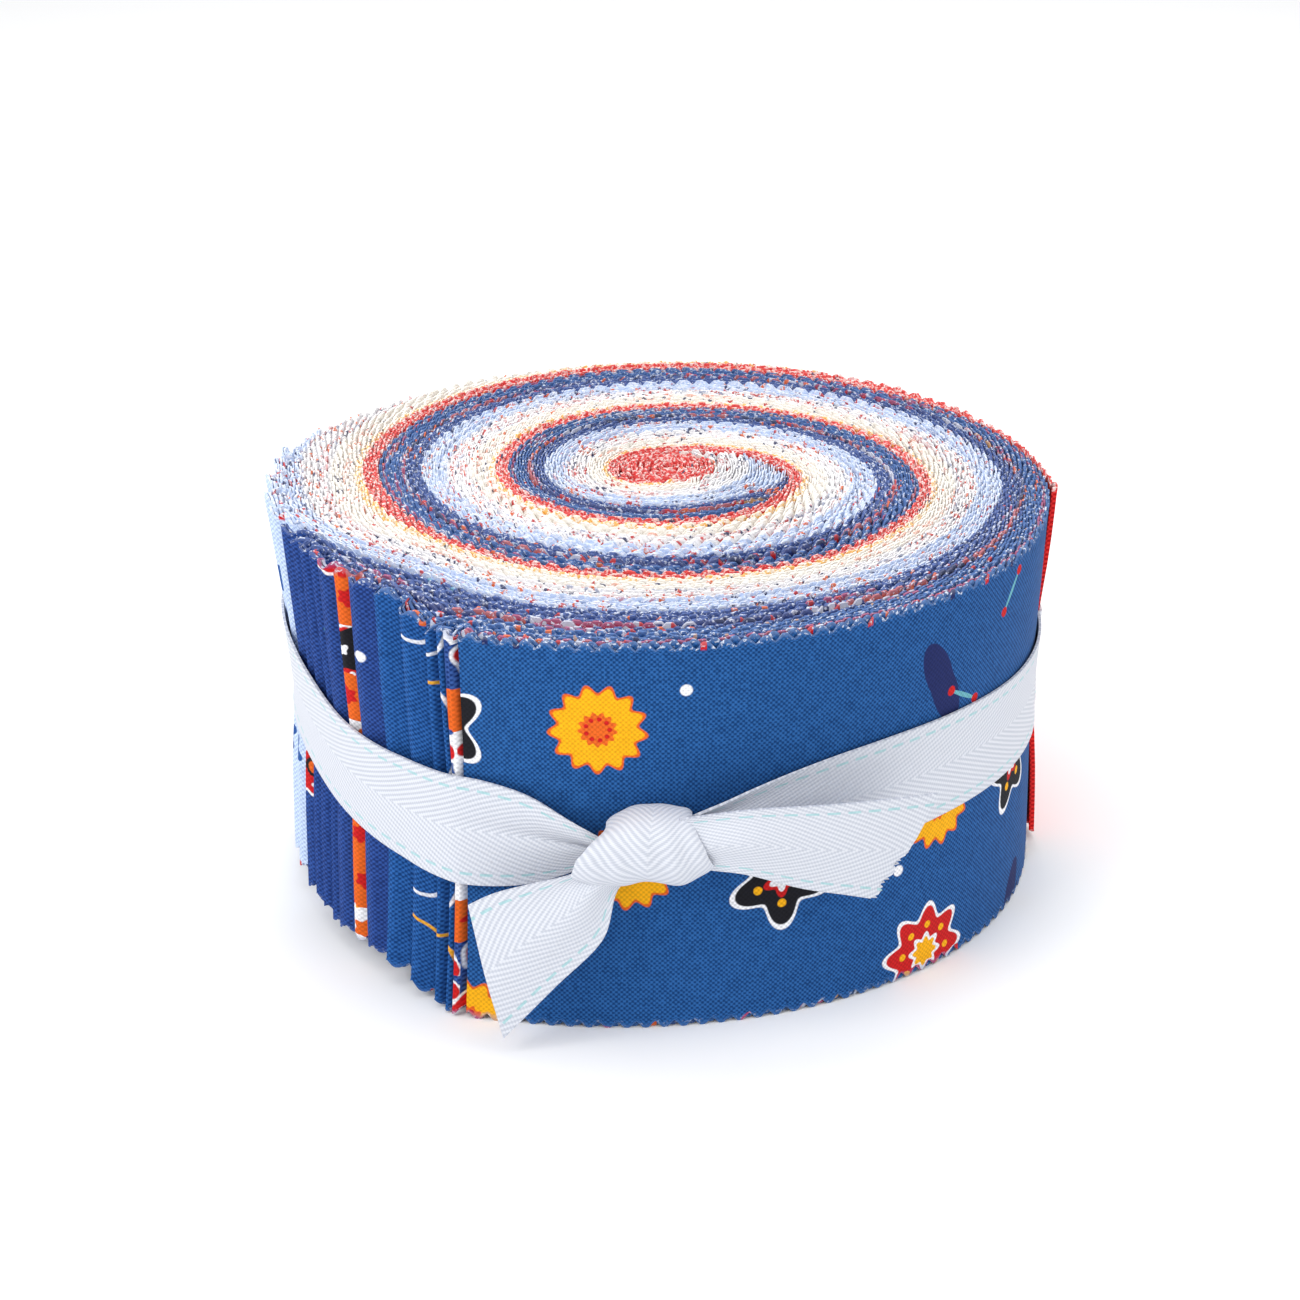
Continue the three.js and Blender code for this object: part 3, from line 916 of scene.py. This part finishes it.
knot = {                             # the wrap: its left and right edge from top to bottom, and its section
    "left": (-10.2, -12.8, -14.6, -15.4, -13.8),
    "right": (1.8, 2.8, 3.8, 4.6, 5.2),
    "share": (0, 0.3, 0.55, 0.72, 1),
    "top": (36.6, 38.3, 38.6, 38.5, 38.0),
    "bottom": (27.2, 27.3, 28.2, 27.4, 30.0),
    "out": (3.6, 4.7, 5.0, 4.9, 4.2),
    "middle": -65.6,
    "tuck": 0.12,
    "length": 27,                    # of the ribbon wrapped here
    "boxy": 0.85,                    # below 1 the section is boxier than an ellipse
    "crease": 0.22,
    "clothRadius": 9,                # sizes that the twill is laid over the knot with
    "clothWidth": 11,
}


def clothShell(points, flat, thick):  # both faces of a cloth from its middle surface
    along, across = np.gradient(points, axis=0), np.gradient(points, axis=1)
    normal = np.cross(along, across)
    normal /= np.maximum(np.linalg.norm(normal, axis=2, keepdims=True), 1e-9)
    front, back = points + normal * thick / 2, (points - normal * thick / 2)[:, ::-1]
    return np.concatenate([front, back], 1), np.concatenate([flat, flat[:, ::-1]], 1)


def bandShell():                     # it bunches up towards the knot on both sides
    first, last = bandRows["angle"][0], bandRows["angle"][-1]
    angle = np.linspace(first, last, 520)
    top, bottom = (flow(angle, bandRows["angle"], bandRows[edge]) for edge in ("top", "bottom"))
    share = np.linspace(0, 1, 33)
    height = top[:, None] + (bottom - top)[:, None] * share
    toLeft, toRight = np.exp(-(angle - first) / 8)[:, None], np.exp(-(last - angle) / 7)[:, None]
    crease = 1.5 * np.exp(-((share - 0.2) / 0.18) ** 2) - 1.0 * np.exp(-((share - 0.47) / 0.07) ** 2)
    ripple = 0.9 * np.cos(2 * np.pi * (2.2 * share + 0.1))
    radius = wallRadius(angle)[:, None] - wallInset(angle[:, None], height) + ribbon["lay"]
    radius = radius + toLeft * (1.6 + crease) + toRight * (2.0 + ripple)
    radius = radius + 0.12 * np.sin(np.radians(angle) * 7)[:, None] * (2 * share - 1) ** 2
    turn = np.radians(angle)[:, None]
    points = np.stack([radius * np.cos(turn), -radius * np.sin(turn), height], 2)
    walk = walked(points[:, len(share) // 2])
    flat = np.stack(np.broadcast_arrays(walk[:, None], (0.5 - share)[None] * ribbon["width"]), 2)
    return clothShell(points, flat, ribbon["thick"]), walk[-1]


def tailShell(stations, bow, ripple, torn):
    share = np.linspace(0, 1, 65)
    place = np.linspace(0, len(stations) - 1, 72)
    rows = [[station[edge] for station in stations] for edge in ("top", "bottom")]
    top, bottom = (flow(place, range(len(stations)), row) for row in rows)
    walks = [walked(top), walked(bottom)]
    points = top[:, None] + (bottom - top)[:, None] * share[None, :, None]
    along = walks[0][:, None] + (walks[1] - walks[0])[:, None] * share
    normal = np.cross(np.gradient(points, axis=0), np.gradient(points, axis=1))
    normal /= np.linalg.norm(normal, axis=2, keepdims=True)
    normal *= -np.sign(normal[:, :, 1:2])
    near = np.exp(-along / 13)
    wave = np.cos(2 * np.pi * (ripple["count"] * share + ripple["shift"]))
    lift = bow * np.sin(np.pi * share) + ripple["deep"] * near * wave
    points = points + normal * (lift + ribbon["lay"])[:, :, None]
    if torn:                         # the cut end is frayed at its lower corner
        notches = np.abs(np.sin(share * 83)) * (0.6 + 0.4 * np.sin(share * 31 + 1))
        jag = torn["deep"] * smooth(share, 0.4, 0.65) * notches
        back = points[-1] - points[-5]
        back /= np.linalg.norm(back, axis=1, keepdims=True)
        for row, part in ((-1, 1.0), (-2, 0.75), (-3, 0.45)):
            points[row] -= back * (jag * part)[:, None]
    flat = np.stack(np.broadcast_arrays(along, (0.5 - share)[None] * ribbon["width"]), 2)
    return clothShell(points, flat, ribbon["thick"]), (walks[0][-1], walks[1][-1])


def boxy(value):
    return np.sign(value) * np.abs(value) ** knot["boxy"]


def knotShell():
    share = np.linspace(0, 1, 41)
    turn = np.radians(np.linspace(128, -128, 65))
    level = (1 - np.sin(np.clip(turn, -np.pi / 2, np.pi / 2))) / 2
    left, right = (np.interp(level, np.linspace(0, 1, 5), knot[side]) for side in ("left", "right"))
    top, bottom, out = (flow(share, knot["share"], knot[key]) for key in ("top", "bottom", "out"))
    tuck = 1 - knot["tuck"] * (np.exp(-share / 0.04) + np.exp(-(1 - share) / 0.03))
    x = left[:, None] + (right - left)[:, None] * share
    z = (top + bottom)[None] / 2 + boxy(np.sin(turn))[:, None] * (top - bottom)[None] / 2 * tuck
    fold = knot["crease"] * np.sin(9 * x / 6 + z / 2.2)
    y = knot["middle"] - boxy(np.cos(turn))[:, None] * (out * tuck)[None] - fold * np.cos(turn)[:, None]
    points = np.stack([x, y, z], 2)
    around = np.radians(np.linspace(0, 256, 65))[:, None] * knot["clothRadius"]
    flat = np.stack(np.broadcast_arrays(around, (0.55 - share)[None] * knot["clothWidth"]), 2)
    return clothShell(points, flat, ribbon["thick"])


def makeTwill():
    sheet = Sheet("ribbonTwill", **{"Roughness": 0.6, "Sheen Weight": 0.2, "Sheen Roughness": 0.4})
    along, across = sheet.clothPlace()
    off = across.size()
    line = (along * ribbon["twillSlope"] + off) / ribbon["twillPitch"]
    ridge = (line * 2 * math.pi).sine()
    beads = ((along - off * ribbon["twillSlope"]) * (2 * math.pi / 0.55)).sine()
    height = (ridge * 0.36 + beads * 0.18 + 0.5).ramp(0, 1)
    # painted shade: the twill's grooves are coloured darker than its ridges, by the same heights that make
    # the bump
    color = sheet.mix(height, srgb(*ribbon["groove"]), srgb(*ribbon["ridge"]))
    dash = (along / ribbon["dashPitch"]).part().below(ribbon["dashShare"])
    seam = 1 - (off - ribbon["dashAt"]).size().ramp(ribbon["dashHalf"], ribbon["dashHalf"] + 0.12)
    color = sheet.mix(dash * seam * 0.6, color, srgb(*ribbon["dash"]))
    beading = off.above(ribbon["width"] / 2 - 0.2) * (along / 0.8).part().below(0.5)
    color = sheet.mix(beading * 0.25, color, srgb(*ribbon["beading"]))
    sheet.feed("Base Color", color)
    height = height - dash * seam * 0.5
    bump = {"Height": height, "Strength": ribbon["bump"], "Distance": ribbon["bumpDepth"] * mm}
    sheet.feed("Normal", sheet.node("ShaderNodeBump", {}, bump))
    return sheet.material


twill = makeTwill()
bandCloth, bandLength = bandShell()
leftCloth, leftEdges = tailShell(leftTail, 0.9, {"deep": 0.9, "count": 1.6, "shift": 0.1}, None)
rightCloth, rightEdges = tailShell(rightTail, 0.7, {"deep": 0.7, "count": 1.4, "shift": 0.3}, {"deep": 1.6})
ribbonPieces = {                     # cloth, longest and mean length, and how it is held
    "ribbonBand": (bandCloth, bandLength, bandLength, "stretched"),
    "ribbonLeftEnd": (leftCloth, max(leftEdges), sum(leftEdges) / 2, "hung"),
    "ribbonRightEnd": (rightCloth, max(rightEdges), sum(rightEdges) / 2, "hung"),
    "ribbonKnot": (knotShell(), knot["length"], knot["length"], "gathered"),
}
for name, (shell, longest, mean, held) in ribbonPieces.items():
    piece = makePiece(name, [shell], twill)
    smoothPiece(piece, 50)
    width = ribbon["width"] * mm
    longest * mm
    width * mean * mm
    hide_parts("ribbon")
print("ribbon tied")


# Floor

def layFloor():
    bpy.ops.object.select_all(action="DESELECT")
    bpy.ops.mesh.primitive_plane_add(size=room["floorSize"] * mm)
    floor = bpy.context.object
    floor.name = "floor"
    sheet = Sheet("paleFloor", **{"Roughness": 0.9, "Base Color": (*room["floorColor"], 1)})
    floor.data.materials.append(sheet.material)


layFloor()
